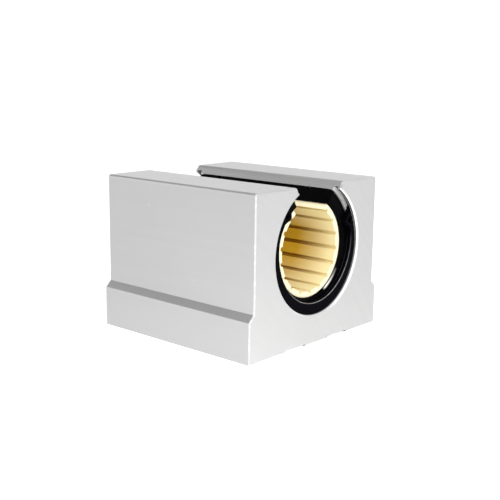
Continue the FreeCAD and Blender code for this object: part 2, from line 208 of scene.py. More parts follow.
def rim_of(grid):
    """The points round the edge of a grid, in order, without repeating one."""
    return np.concatenate([grid[0, :-1], grid[:-1, -1], grid[-1, :0:-1], grid[:0:-1, 0]])


class Shell:
    """The surface of one piece, gathered patch by patch. A patch is a grid of points in millimetres."""

    def __init__(self):
        self.points = []
        self.faces = []
        self.finishes = []
        self.lids = []
        self.count = 0

    def lid(self, rim):
        """Close a flat opening with one face, in the first finish, whose corners are the points of its rim."""
        self.lids.append(self.count + np.arange(len(rim)))
        self.points.append(rim)
        self.count += len(rim)

    def patch(self, grid, finish=0, keep=None, closed=False):
        """Add a grid of points (rows, columns, 3). A closed patch joins its last column to its first."""
        if closed:
            grid = np.concatenate([grid, grid[:, :1]], axis=1)
        rows, columns = grid.shape[:2]
        index = self.count + np.arange(rows * columns).reshape(rows, columns)
        quads = np.stack([index[:-1, :-1], index[:-1, 1:], index[1:, 1:], index[1:, :-1]], axis=-1)
        quads = quads.reshape(-1, 4) if keep is None else quads[keep]
        self.points.append(grid.reshape(-1, 3))
        self.faces.append(quads)
        self.finishes.append(np.broadcast_to(finish, len(quads)) if np.ndim(finish) == 0 else finish)
        self.count += rows * columns

    def piece(self, name, finishes, slot, stands_for):
        """Weld the patches into one mesh whose faces point outwards, and dress it.

        Points are one when they agree to a ten-thousandth of a millimetre. Faces that fold to nothing are dropped.
        """
        points = np.concatenate(self.points)
        faces = np.concatenate(self.faces)
        finish = np.concatenate(self.finishes)
        _, first, merged = np.unique(np.round(points, 4), axis=0, return_index=True, return_inverse=True)
        faces = merged.reshape(-1)[faces]
        fresh = faces != np.roll(faces, 1, axis=1)
        sides = fresh.sum(axis=1)
        repeated = (faces[:, 0] == faces[:, 2]) | (faces[:, 1] == faces[:, 3])
        sound = (sides >= 3) & ~repeated
        order = np.argsort(~fresh, axis=1, kind="stable")
        faces = np.take_along_axis(faces, order, axis=1)[sound]
        sides, finish = sides[sound], finish[sound]
        mesh = bpy.data.meshes.new(name)
        listed = [face[:n] for face, n in zip(faces.tolist(), sides.tolist())]
        listed += [merged.reshape(-1)[rim].tolist() for rim in self.lids]
        finish = np.r_[finish, np.zeros(len(self.lids))]
        mesh.from_pydata((points[first] * MM).tolist(), [], listed)
        for material in finishes:
            mesh.materials.append(material)
        mesh.polygons.foreach_set("material_index", finish.astype(np.int32))
        shape = bmesh.new()
        shape.from_mesh(mesh)
        bmesh.ops.delete(shape, geom=[v for v in shape.verts if not v.link_faces], context="VERTS")
        bmesh.ops.recalc_face_normals(shape, faces=shape.faces)
        shape.to_mesh(mesh)
        shape.free()
        mesh.shade_smooth()
        mesh.set_sharp_from_angle(angle=CREASE)
        piece = bpy.data.objects.new(name, mesh)
        bpy.context.scene.collection.objects.link(piece)
        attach(piece, "root")
        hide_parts(*stands_for)
        return piece


def drill(shell, rim, centre, inward, wall, pitch, height):
    """A round hole below a flat face, from the rim of the gap left for it down to its point.

    Each row of wall is (radius, depth, share of thread). On a row, the radius is
    radius + share height (1 - |2 frac(depth / pitch - angle / 2 pi) - 1|), which climbs once round per pitch.
    """
    across = np.roll(inward, 1)
    up = np.cross(inward, across)
    flat = rim - centre
    start = math.atan2(flat[0] @ up, flat[0] @ across)
    sense = np.sign(np.cross(flat[0], flat[1]) @ inward)
    angle = start + sense * np.linspace(0, 2 * np.pi, len(rim), endpoint=False)
    spoke = np.cos(angle)[:, None] * across + np.sin(angle)[:, None] * up
    radius, depth, share = np.asarray(wall, float).T
    wave = 1 - np.abs(2 * ((depth[:, None] / pitch - angle / (2 * np.pi)) % 1) - 1)
    radius = radius[:, None] + share[:, None] * height * wave
    rows = centre + radius[..., None] * spoke + depth[:, None, None] * inward
    shell.patch(between(rim, rows[0], (0, 0.6, 1)), closed=True)
    shell.patch(rows, CUT, closed=True)


def housing_outline():
    """Outside of the housing's section, from the slot's right lip clockwise round to its left one."""
    lip = (TOP * math.tan(HOUSING_SLOT), TOP)
    corner = at_turn(BORE, HOUSING_SLOT)
    top = [corner, lip, (HALF_BODY, TOP), (HALF_BODY, SCREW_ROOM)]
    top = rounded(top, (LIP_RADIUS, SHOULDER_RADIUS))[1:]
    flank = np.linspace(SCREW_ROOM, -SCREW_ROOM, ROOM_POINTS)
    flank = np.stack([np.full(ROOM_POINTS, HALF_BODY), flank], axis=-1)
    sill = STEP + HALF_FOOT - HALF_BODY
    ledge = [(HALF_BODY, -SCREW_ROOM), (HALF_BODY, sill), (HALF_FOOT, STEP), (HALF_FOOT, BOTTOM)]
    ledge = rounded(ledge, (STEP_RADIUS, FOOT_RADIUS))[1:]
    pad = np.linspace(HOLE_SPACING + HOLE_ROOM, HOLE_SPACING - HOLE_ROOM, ROOM_POINTS)
    pad = np.stack([pad, np.full(ROOM_POINTS, BOTTOM)], axis=-1)
    near, far = CHANNEL
    ceiling = BOTTOM + CHANNEL_DEPTH
    channel = [(far, BOTTOM), (far - CHANNEL_DRAFT, ceiling), (near + CHANNEL_DRAFT, ceiling), (near, BOTTOM)]
    right = filled(np.concatenate([top[:-1], flank, ledge, pad, channel, [(0, BOTTOM)]]), 1.6, 0.6)
    return np.concatenate([right, (right * (-1, 1))[-2::-1]])


def nearest(row, place):
    """Index of the entry of a row that is nearest to a place."""
    return int(np.abs(row - place).reshape(len(row), -1).sum(axis=1).argmin())


def make_housing(skin, sawn, cut):
    """The extruded block: one outline carried along the bore, with its ends drawn in, the bore and the holes.

    Outside: outline + inset(along) x inward step. Bore: a circle of radius bore(along) at the outline's own turns.
    Slot walls and end faces: straight blends from the bore to the outline. Each hole has a gap of cells left for it,
    named by its places along the bore and two outline points, and a wall for drill.
    """
    shell = Shell()
    outline = housing_outline()
    turns = np.unwrap(np.arctan2(outline[:, 0], outline[:, 1]))
    loop = np.concatenate([outline, at_turn(BORE, turns)[::-1]])
    inward = inward_of(loop)

    holes = np.linspace(HOLE_SPACING - HOLE_ROOM, HOLE_SPACING + HOLE_ROOM, ROOM_POINTS)
    middle = np.linspace(0, SCREW_ROOM, ROOM_POINTS // 2 + 1)[1:]
    front_half = np.r_[middle, 6, 9, 12, 15, 18, 19.7, holes, 30.4]
    ends = np.r_[RING_SEAT[::-1], HALF_LENGTH - MOUTH, HALF_LENGTH - EDGE, HALF_LENGTH]
    half = np.r_[front_half, ends]
    along = np.r_[-half[::-1], 0, half]
    inset = np.where(np.abs(along) > HALF_LENGTH - EDGE / 2, EDGE, 0)
    side = outline[None] + inset[:, None, None] * inward[None, :len(outline)]
    surface = standing(side, along[:, None])
    keep = np.ones((len(along) - 1, len(outline) - 1), bool)
    finish = np.zeros(keep.shape, int)
    finish[[0, -1]] = SAWN
    threaded = np.arange(0.9, HOLE_THREAD, HOLE_PITCH / 8)
    runout = np.clip((HOLE_THREAD - threaded) / 1.5, 0, 1)
    tapped = np.stack([np.full_like(threaded, HOLE), threaded, runout], axis=-1)
    below = [(HOLE, HOLE_THREAD + 0.2, 0), (HOLE, HOLE_DEPTH, 0), (0, HOLE_POINT, 0)]
    tapped = np.concatenate([[(HOLE_MOUTH, 0, 0)], tapped, below])
    threaded = np.arange(0.6, SCREW_THREAD, SCREW_PITCH / 8)
    screwed = np.stack([np.full_like(threaded, SCREW_HOLE), threaded, np.ones_like(threaded)], axis=-1)
    screwed = np.concatenate([[(SCREW_MOUTH, 0, 0)], screwed, [(SCREW_HOLE + 0.02, 10.4, 0), (0, 10.5, 0)]])
    centre = (HALF_BODY, 0, BORE_CENTRE)
    room = (-SCREW_ROOM, SCREW_ROOM)
    one, other = ((HALF_BODY, rise) for rise in room)
    gaps = [(room, one, other, centre, (-1, 0, 0), screwed, SCREW_PITCH, SCREW_RELIEF)]
    for x in (-HOLE_SPACING, HOLE_SPACING):
        for y in (-HOLE_SPACING, HOLE_SPACING):
            room = (y - HOLE_ROOM, y + HOLE_ROOM)
            one, other = (x - HOLE_ROOM, BOTTOM), (x + HOLE_ROOM, BOTTOM)
            gaps.append((room, one, other, (x, y, 0), (0, 0, 1), tapped, HOLE_PITCH, HOLE_RELIEF))
    for (low, high), one, other, centre, into, wall, pitch, height in gaps:
        k0, k1 = nearest(along, low), nearest(along, high)
        m0, m1 = sorted((nearest(outline, one), nearest(outline, other)))
        keep[k0:k1, m0:m1] = False
        rim = rim_of(surface[k0:k1 + 1, m0:m1 + 1])
        drill(shell, rim, np.array(centre, float), np.array(into, float), wall, pitch, height)
    shell.patch(surface, finish[keep], keep)

    reach = np.where(np.abs(along) > HALF_LENGTH - EDGE / 2, BORE + MOUTH, BORE)
    reach = np.where(np.isclose(np.abs(along), HALF_LENGTH - EDGE), BORE + MOUTH - EDGE, reach)
    bore = at_turn(reach[:, None], turns[None])
    bore[:, 0] += inset[:, None] * inward[-1]
    bore[:, -1] += inset[:, None] * inward[len(outline)]
    groove = np.isin(np.abs(along), RING_SEAT)
    groove = groove[:-1] & groove[1:]
    shell.patch(standing(bore, along[:, None]), CUT, np.repeat(~groove[:, None], len(outline) - 1, axis=1))
    for row in np.flatnonzero(groove):
        floor = at_turn(RING_GROOVE, turns)
        lines = np.stack([bore[row], floor, floor, bore[row + 1]])
        shell.patch(standing(lines, along[[row, row, row + 1, row + 1]][:, None]), CUT)

    share = (RING_GROOVE - BORE) / (np.linalg.norm(outline[0]) - BORE)
    shares = (0, share, 1)
    for column in (0, -1):
        wall = between(bore[:, column], side[:, column], shares)
        cells = np.ones((2, len(along) - 1), bool)
        cells[0] = ~groove
        shell.patch(standing(wall, along), SKIN, cells)
    for end in (0, -1):
        shell.patch(standing(between(bore[end], side[end], shares), along[end]), SAWN)
    return shell.piece("housing_block", [skin, sawn, cut], "housing", ["housing"])


def thickened(shell, section, along, inset, keep=None, side_finish=0, face_finish=0):
    """A flat section given thickness along the bore.

    Its rim is carried through the places along, drawn in by inset at each; the two faces are the section itself with
    its rim drawn in.
    """
    rim = rim_of(section)
    inward = inward_of(rim)
    wall = rim[None] + np.asarray(inset)[:, None, None] * inward[None]
    side_finish = np.repeat(np.broadcast_to(side_finish, len(along) - 1), len(rim))
    shell.patch(standing(wall, np.asarray(along)[:, None]), side_finish, closed=True)
    order = rim_of(np.arange(section[..., 0].size).reshape(section.shape[:2]))
    for end in (0, -1):
        face = section.reshape(-1, 2).copy()
        face[order] = wall[end]
        shell.patch(standing(face.reshape(section.shape), along[end]), face_finish, keep)


def soft_edges(front, rear, radius, steps=3):
    """Places and insets that give a plate quarter-round edges: place = end +- r (1 - sin a), inset = r (1 - cos a)."""
    angle = np.linspace(np.pi / 2, 0, steps + 1)
    back = radius * (1 - np.sin(angle))
    inset = radius * (1 - np.cos(angle))
    return np.r_[front + back, (rear - back)[::-1]], np.r_[inset, inset[::-1]]


def make_sleeve(finish):
    """The turned sleeve: its section of pairs (along, reach) carried round the bore's axis, closed at the slot."""
    inner, outer = BAND
    half = [(LINER_END, SLEEVE_BORE), (SLEEVE_END, SLEEVE_BORE + SLEEVE_MOUTH)]
    half += [(SLEEVE_END, SLEEVE - SLEEVE_CHAMFER), (SLEEVE_END - SLEEVE_CHAMFER, SLEEVE)]
    half += [(outer, SLEEVE), (outer, SLEEVE - BAND_DEPTH), (inner, SLEEVE - BAND_DEPTH), (inner, SLEEVE)]
    half = np.array(half)
    section = np.concatenate([half, (half * (-1, 1))[::-1]])
    turns = np.linspace(SLEEVE_SLOT, 2 * np.pi - SLEEVE_SLOT, 181)
    shell = Shell()
    rows = standing(at_turn(section[:, 1:2], turns[None]), section[:, 0:1])
    shell.patch(np.concatenate([rows, rows[:1]]))
    for column in (0, -1):
        shell.lid(rows[:, column])
    return shell.piece("sleeve_turned", [finish], "bearing_sleeve", ["bearing_sleeve"])


def make_liner(finish):
    """The polymer liner: lands at one reach, grooves of trapezium section every 20 degrees, a plain circle outside.

    The knots are the groove's eased corners: turns from its middle, and their reaches. Between them the reach is
    straight.
    """
    first_above_right = -7.2
    middle = np.radians(90 - (first_above_right + 360 / GROOVES * np.arange(GROOVES))) % (2 * np.pi)
    middle = np.sort(middle)
    mouth, floor = GROOVE_MOUTH / LAND, GROOVE_FLOOR / (LAND + GROOVE_DEPTH)
    ease, bend = 0.1 / LAND, 0.08
    offsets = np.array([-mouth - ease, -mouth + ease / 2, -floor - ease / 3, -floor + ease,
                        floor - ease, floor + ease / 3, mouth - ease / 2, mouth + ease])
    climb = [0, bend, GROOVE_DEPTH - bend, GROOVE_DEPTH]
    reach = LAND + np.array(climb + climb[::-1])
    knots = (middle[:, None] + offsets).reshape(-1)
    knot_reach = np.tile(reach, len(middle))
    inside = (knots > LINER_SLOT + 0.01) & (knots < 2 * np.pi - LINER_SLOT - 0.01)
    ends = np.array([LINER_SLOT, 2 * np.pi - LINER_SLOT])
    end_reach = np.interp(ends, knots, knot_reach)
    even = np.arange(LINER_SLOT + 0.03, ends[1] - 0.02, 0.045)
    even = even[np.abs(even[:, None] - knots).min(axis=1) > 0.012]
    turns = np.r_[ends, knots[inside], even]
    line = np.r_[end_reach, knot_reach[inside], np.interp(even, knots, knot_reach)]
    order = np.argsort(turns)
    turns, line = turns[order], line[order]
    section = between(at_turn(line, turns), at_turn(LINER, turns), (0, 0.5, 1))
    along, inset = soft_edges(-LINER_END, LINER_END, radius=0.25)
    shell = Shell()
    thickened(shell, section, along, inset)
    return shell.piece("liner_moulded", [finish], "bearing_liner", ["bearing_liner"])


def ring_section():
    """Section of a retaining ring from one end of its gap round to the other, as rows from inside to outside.

    Inside: a circle moved towards the gap, whose reach is shift cos turn + sqrt(radius^2 - (shift sin turn)^2), and
    near each end an ear that reaches further in. The ear's end slants, so over the ear the outer turns run evenly from
    the gap's edge to the ear's root. Given back as well: the columns left free for each plier hole, and the rows.
    """
    tip, start, heel, stop, root, band = (RING_GAP + math.radians(turn) for turn in (7.1, 8.7, 11.3, 15.6, 20.3, 22))
    free = np.arange(band, np.pi, math.radians(2))
    bow = RING_SHIFT * np.cos(free) + np.sqrt(RING_HOLE ** 2 - (RING_SHIFT * np.sin(free)) ** 2)
    ear = [at_turn(RING, RING_GAP), at_turn(EAR, tip), at_turn(EAR, heel)]
    ear += [at_turn(EAR_ROOT, root), at_turn(bow[0], free[0])]
    path = np.concatenate([rounded(ear, (1.0, 1.0, 0.8))[1:], at_turn(bow[1:], free[1:])])
    reach = np.linalg.norm(path, axis=1)
    turn = np.arctan2(path[:, 0], path[:, 1])
    outside = (turn < start - 0.004) | (turn > stop + 0.004)
    turns = np.sort(np.r_[turn[outside], np.linspace(start, stop, 9)])
    reach = np.interp(turns, turn, reach)
    last = len(turns)
    outer = np.where(turns < root, RING_GAP + (turns - turns[0]) * (root - RING_GAP) / (root - turns[0]), turns)
    turns = np.r_[turns, np.pi, 2 * np.pi - turns[::-1]]
    outer = np.r_[outer, np.pi, 2 * np.pi - outer[::-1]]
    reach = np.r_[reach, RING_HOLE - RING_SHIFT, reach[::-1]]
    shares = np.r_[0, np.linspace(0.13, 0.722, 9), 0.86, 1]
    section = between(at_turn(reach, turns), at_turn(RING, outer), shares)
    first = nearest(turns[:last], start)
    return section, ((first, first + 8), (len(turns) - 9 - first, len(turns) - 1 - first)), (1, 9)


def make_ring(name, node, front, turned, finish, face_finish):
    """A stamped retaining ring with rolled edges and a plier hole in each ear."""
    section, blocks, band = ring_section()
    spin = np.array([[math.cos(turned), -math.sin(turned)], [math.sin(turned), math.cos(turned)]])
    section = section @ spin
    along, inset = soft_edges(front, front + RING_THICKNESS, radius=0.22)
    keep = np.ones((section.shape[0] - 1, section.shape[1] - 1), bool)
    shell = Shell()
    b0, b1 = band
    for (c0, c1), sign in zip(blocks, (1, -1)):
        keep[b0:b1, c0:c1] = False
        rim = rim_of(section[b0:b1 + 1, c0:c1 + 1])
        centre = at_turn(PLIER_REACH, sign * (RING_GAP + PLIER_TURN) + turned)
        spoke = rim - centre
        start = math.atan2(spoke[0, 1], spoke[0, 0])
        sense = np.sign(spoke[0, 0] * spoke[1, 1] - spoke[0, 1] * spoke[1, 0])
        angle = start + sense * np.linspace(0, 2 * np.pi, len(rim), endpoint=False)
        ring = np.stack([np.cos(angle), np.sin(angle)], axis=-1)
        wall = centre + (PLIER_HOLE + inset[:, None, None]) * ring[None]
        shell.patch(standing(wall, along[:, None]), STAMPED, closed=True)
        for end in (0, -1):
            shell.patch(standing(between(rim, wall[end], (0, 0.7, 1)), along[end]), STAMPED, closed=True)
    sides = np.full(len(along) - 1, ROUNDED)
    sides[len(sides) // 2] = STAMPED
    thickened(shell, section, along, inset, keep, sides, STAMPED)
    return shell.piece(name, [finish, face_finish], "circlip", [node])


def make_screw(finish):
    """The set screw in the side: rows of points round its own axis, from its socket's floor round to its point.

    The hexagon's reach is half its width / cos(angle mod 60 - 30 degrees). The thread's reach is
    radius - height |2 frac(depth / pitch - angle / 2 pi) - 1|.
    """
    angle = np.linspace(0, 2 * np.pi, 48, endpoint=False)
    hexagon = SCREW_SOCKET / np.cos(angle % (np.pi / 3) - np.pi / 6)
    end = SCREW_END
    rows = [(0 * angle, end - 4.3), (0 * angle + 1.3, end - 3.6), (hexagon, end - 3.5), (hexagon, end - 0.12)]
    rows += [(hexagon + 0.12, end), (0 * angle + SCREW - 0.4, end), (0 * angle + SCREW, end - 0.4)]
    depth = np.arange(0.45, 8.0, SCREW_PITCH / 8)
    wave = np.abs(2 * ((depth[:, None] / SCREW_PITCH - angle / (2 * np.pi)) % 1) - 1)
    rows += [(SCREW - 0.3 * w * min(1, (d - 0.4) * 2), end - d) for d, w in zip(depth, wave)]
    rows += [(0 * angle + SCREW, SCREW_TIP + 1.9), (0 * angle + 0.6, SCREW_TIP), (0 * angle, SCREW_TIP)]
    reach = np.stack([r for r, _ in rows])
    place = np.array([p for _, p in rows])[:, None] + 0 * reach
    grid = np.stack([place, reach * np.sin(angle), BORE_CENTRE + reach * np.cos(angle)], axis=-1)
    shell = Shell()
    shell.patch(grid, closed=True)
    return shell.piece("side_set_screw", [finish], "locating_screw", ["locating_screw"])


# ---------------------------------------------------------------- finishes

class Wire:
    """One output of a node tree. Sums, differences, products and powers of wires and numbers add Math nodes."""

    def __init__(self, tree, socket=None):
        self.tree = tree
        self.socket = socket

    def node(self, kind, settings=None, sockets=None, output=0):
        """Add a node: first its settings, then the values or wires of its input sockets.

        A colour ramp's stops are a setting too, as pairs (place, grey).
        """
        node = self.tree.nodes.new(kind)
        for name, value in (settings or {}).items():
            if name == "stops":
                for _ in value[2:]:
                    node.color_ramp.elements.new(0.5)
                for stop, (place, grey) in zip(node.color_ramp.elements, value):
                    stop.position = place
                    stop.color = (grey, grey, grey, 1)
            else:
                setattr(node, name, value)
        for name, value in (sockets or {}).items():
            if isinstance(value, Wire):
                self.tree.links.new(value.socket, node.inputs[name])
            else:
                node.inputs[name].default_value = value
        return Wire(self.tree, node.outputs[output] if len(node.outputs) else None)

    def math(self, operation, first, second=0.0, clamp=False):
        """One Math node on two wires or numbers."""
        return self.node("ShaderNodeMath", {"operation": operation, "use_clamp": clamp}, {0: first, 1: second})

    def __add__(self, other):
        return self.math("ADD", self, other)

    def __radd__(self, other):
        return self.math("ADD", other, self)

    def __sub__(self, other):
        return self.math("SUBTRACT", self, other)

    def __rsub__(self, other):
        return self.math("SUBTRACT", other, self)

    def __mul__(self, other):
        return self.math("MULTIPLY", self, other)

    def __rmul__(self, other):
        return self.math("MULTIPLY", other, self)

    def __pow__(self, other):
        return self.math("POWER", self, other)

    def ramp(self, low, high):
        """0 below low, 1 above high and straight in between."""
        return self.math("MULTIPLY", self - low, 1 / (high - low), clamp=True)

    def within(self, low, high, soft):
        """1 between low and high and 0 outside them, straight over a width of soft inside each."""
        return self.ramp(low, low + soft) * (1.0 - self.ramp(high - soft, high))

    def blend(self, first, second):
        """A colour between two others, by this wire."""
        first = first if isinstance(first, Wire) else (*first, 1)
        second = second if isinstance(second, Wire) else (*second, 1)
        return self.node("ShaderNodeMix", {"data_type": "RGBA"}, {0: self, 6: first, 7: second}, 2)


def new_finish(name):
    """A material with empty nodes: the material, a starting wire, and a function that adds its surface."""
    material = bpy.data.materials.new(name)
    material.use_nodes = True
    tree = material.node_tree
    tree.nodes.clear()
    start = Wire(tree)

    def surface(**sockets):
        named = {key.replace("_", " "): value for key, value in sockets.items()}
        shader = start.node("ShaderNodeBsdfPrincipled", None, named)
        start.node("ShaderNodeOutputMaterial", None, {"Surface": shader})
        return material
    return start, surface


def place(start):
    """The point on the piece, in metres."""
    return start.node("ShaderNodeTexCoord", None, None, 3)


def round_bore(start):
    """Wires for the place on the piece, in metres: across, rise above the bore's axis, reach from that axis, and
    distance from the middle along it."""
    across = start.node("ShaderNodeSeparateXYZ", None, {0: place(start)}, 0)
    rise = start.node("ShaderNodeSeparateXYZ", None, {0: place(start)}, 2) - BORE_CENTRE * MM
    along = start.node("ShaderNodeSeparateXYZ", None, {0: place(start)}, 1)
    reach = (across * across + rise * rise) ** 0.5
    return across, rise, reach, along.math("ABSOLUTE", along)


def grain(start, scale, stretch=(1, 1, 1), detail=3.0, rough=0.5):
    """Noise whose lumps are about 1 / scale metres, stretched along the axes."""
    spot = start.node("ShaderNodeMapping", None, {"Vector": place(start), "Scale": stretch})
    noise = {"Vector": spot, "Scale": scale, "Detail": detail, "Roughness": rough}
    return start.node("ShaderNodeTexNoise", None, noise)


def channel_walls(across, rise):
    """1 on the walls of the channels underneath, 0 elsewhere."""
    size = across.math("ABSOLUTE", across)
    inner = size.within(0.0060, 0.0070, 0.0001)
    outer = size.within(0.0167, 0.0177, 0.0001)
    return rise.within(-0.03249, -0.03201, 0.00003) * (inner + outer)


def bumped(start, height, depth):
    """A normal bent by a relief, which is height times depth in metres."""
    return start.node("ShaderNodeBump", None, {"Height": height, "Distance": depth, "Strength": 1.0})


def extruded_aluminium():
    """Clear anodised extrusion: satin, with fine die lines along the bore, faint clouding, a few specks, and painted
    shade, near black, on the walls of the channels underneath."""
    start, surface = new_finish("extruded_aluminium")
    across, rise, _, _ = round_bore(start)
    channel_shade = channel_walls(across, rise)
    lines = grain(start, 1.0, (5200, 26, 5200), 4.0, 0.6)
    broad = grain(start, 1.0, (620, 9, 620), 2.0)
    cloud = grain(start, 34.0, (1, 0.55, 1), 3.0)
    fine = grain(start, 5200.0, (1, 0.5, 1), 2.0)
    speck = grain(start, 420.0, (1, 1, 1), 1.0).ramp(0.79, 0.83)
    tone = (cloud * 0.5 + broad * 0.3 + lines * 0.2).ramp(0.3, 0.7)
    colour = tone.blend((0.439, 0.441, 0.442), (0.472, 0.472, 0.470))
    # painted shade: the walls of the channels underneath are made near black
    colour = channel_shade.blend(speck.blend(colour, (0.62, 0.62, 0.615)), (0.02, 0.02, 0.02))
    rough = 0.38 + 0.07 * lines + 0.05 * cloud + speck * 0.12
    normal = bumped(start, lines * 0.6 + fine * 0.4 + broad * 0.4, 0.000006)
    return surface(Base_Color=colour, Metallic=0.86, Roughness=rough, Normal=normal)


def sawn_aluminium():
    """Sawn and brushed end face: finer and brighter than the flanks, with faint arcs of a large saw blade. Its broken
    edges are duller, with chips of bare metal except along the top."""
    start, surface = new_finish("sawn_aluminium")
    moved = {"Vector": place(start), "Location": (0.21, 0.0, 0.16), "Scale": (1, 0, 1)}
    spot = start.node("ShaderNodeMapping", None, moved)
    reach = start.node("ShaderNodeVectorMath", {"operation": "LENGTH"}, {0: spot}, 1)
    line = {"noise_dimensions": "1D"}
    blade = start.node("ShaderNodeTexNoise", line, {"W": reach * 5200, "Scale": 1.0, "Detail": 3.0})
    wide = start.node("ShaderNodeTexNoise", line, {"W": reach * 420, "Scale": 1.0, "Detail": 2.0})
    cloud = grain(start, 40.0, (1, 1, 1), 3.0)
    fine = grain(start, 4600.0, (1, 1, 1), 2.0)
    tone = (cloud * 0.4 + wide * 0.35 + blade * 0.25).ramp(0.3, 0.7)
    colour = tone.blend((0.520, 0.522, 0.522), (0.553, 0.553, 0.551))
    across, rise, _, far = round_bore(start)
    channel_shade = channel_walls(across, rise)
    broken = 1.0 - far.ramp(0.03497, 0.034995)
    top = rise.ramp(0.0215, 0.0220)
    chip = grain(start, 700.0, (1, 1, 1), 2.0).ramp(0.54, 0.64) * (1.0 - top)
    edge = chip.blend(top.blend((0.59, 0.59, 0.59), (0.52, 0.52, 0.52)), (0.76, 0.76, 0.76))
    colour = broken.blend(colour, edge)
    # painted shade: near black on the broken edge where it meets the walls of the channels underneath
    colour = (broken * channel_shade).blend(colour, (0.02, 0.02, 0.02))
    rough = 0.40 + 0.06 * blade + 0.05 * cloud
    normal = bumped(start, blade * 0.5 + fine * 0.5, 0.000006)
    return surface(Base_Color=colour, Metallic=0.85 - 0.6 * broken, Roughness=rough, Normal=normal)


def cut_aluminium():
    """Cut aluminium on chamfers, bore and threads: bright, with fine turning marks, and painted shade that makes the
    retaining rings' grooves near black. The mouth's chamfer has painted shade along its inside, a painted highlight,
    matt and pale, in its lower half, and a greyer one at the bottom."""
    start, surface = new_finish("cut_aluminium")
    _, rise, reach, far = round_bore(start)
    rings = grain(start, 1.0, (900, 6500, 900), 3.0)
    nick = grain(start, 260.0, (1, 1, 1), 3.0).ramp(0.52, 0.7)
    # painted shade: the retaining rings' grooves in the bore are made near black
    ring_groove_shade = reach.ramp(0.02262, 0.0227) * far.ramp(0.03202, 0.03208) * (1.0 - far.ramp(0.03380, 0.03386))
    burnished = (1.0 - far.ramp(0.03202, 0.03208)) * far.ramp(0.0290, 0.0300)
    colour = nick.blend((0.88, 0.88, 0.875), (0.74, 0.74, 0.74))
    colour = ring_groove_shade.blend(colour, (0.02, 0.02, 0.02))
    # painted highlight: the lower half of the mouth's chamfer is made matt and pale, greyer at the very bottom;
    # painted shade: near black along the chamfer's inside
    lip = far.ramp(0.03420, 0.03424) * reach.ramp(0.02249, 0.02251)
    level = rise * (reach ** -1.0)
    chamfer_highlight = lip * (1.0 - level.ramp(-0.1, 0.1))
    plain = chamfer_highlight * (1.0 - level.ramp(-0.97, -0.86))
    shaded = lip * (1.0 - (reach + level * -0.00015).ramp(0.02268, 0.02276))
    colour = plain.blend(chamfer_highlight.blend(colour, (0.80, 0.80, 0.80)), (0.62, 0.62, 0.62))
    colour = shaded.blend(colour, (0.01, 0.01, 0.01))
    dull = burnished.math("MAXIMUM", burnished, chamfer_highlight)
    normal = bumped(start, rings + nick * 2.0, 0.000008)
    return surface(Base_Color=colour, Metallic=0.92 - 0.75 * dull, Normal=normal,
                   Roughness=0.24 + 0.1 * rings + 0.12 * nick + 0.2 * dull)


def black_anodised():
    """Black anodised, turned: near black, with turning rings, and a painted highlight, pale grey, on part of the
    mouth's chamfer, at the lower right of each end."""
    start, surface = new_finish("black_anodised")
    across, rise, reach, far = round_bore(start)
    rings = grain(start, 1.0, (700, 5200, 700), 3.0)
    cloud = grain(start, 120.0, (1, 1, 1), 3.0)
    # painted highlight: a pale streak on the mouth's chamfer at the lower right of each end, fainter higher up
    toward = (across * 0.682 - rise * 0.731) * (reach ** -1.0)
    painted_glint = (toward + cloud * 0.02).ramp(0.965, 0.985) * far.ramp(0.03115, 0.0313)
    painted_glint = painted_glint * (1.0 - reach.ramp(0.0176, 0.0178)) * (1.0 - 0.8 * rise.ramp(-0.0140, -0.0105))
    colour = cloud.ramp(0.3, 0.7).blend((0.0008, 0.0008, 0.001), (0.0025, 0.0025, 0.003))
    colour = painted_glint.blend(colour, (0.72, 0.70, 0.68))
    normal = bumped(start, rings * 0.6 + cloud * 0.4, 0.000006)
    return surface(Base_Color=colour, Roughness=0.34 + 0.1 * rings + 0.06 * cloud, Normal=normal, IOR=1.07)


def phosphated_steel(name, painted_glint):
    """Phosphated and oiled spring steel: black and slightly mottled, with a grey painted highlight on its edge below
    the ears.
    """
    start, surface = new_finish(name)
    _, rise, reach, _ = round_bore(start)
    mottle = grain(start, 900.0, (1, 1, 1), 5.0, 0.65)
    patch = grain(start, 140.0, (1, 1, 1), 3.0)
    tone = (mottle * 0.6 + patch * 0.4).ramp(0.35, 0.68)
    colour = tone.blend((0.0008, 0.0008, 0.0016), (0.0025, 0.0025, 0.0045))
    # painted highlight: grey and metallic on the edge, growing towards the bottom, where the second argument is 1
    low = (rise * -1.0 * (reach ** -1.0)).ramp(-0.2, 0.9) * painted_glint
    colour = low.blend(colour, tone.blend((0.14, 0.14, 0.145), (0.38, 0.38, 0.39)))
    normal = bumped(start, mottle, 0.000010)
    rough = 0.36 + 0.16 * mottle + 0.05 * patch
    return surface(Base_Color=colour, Metallic=low, Roughness=rough, Normal=normal, IOR=1.06)


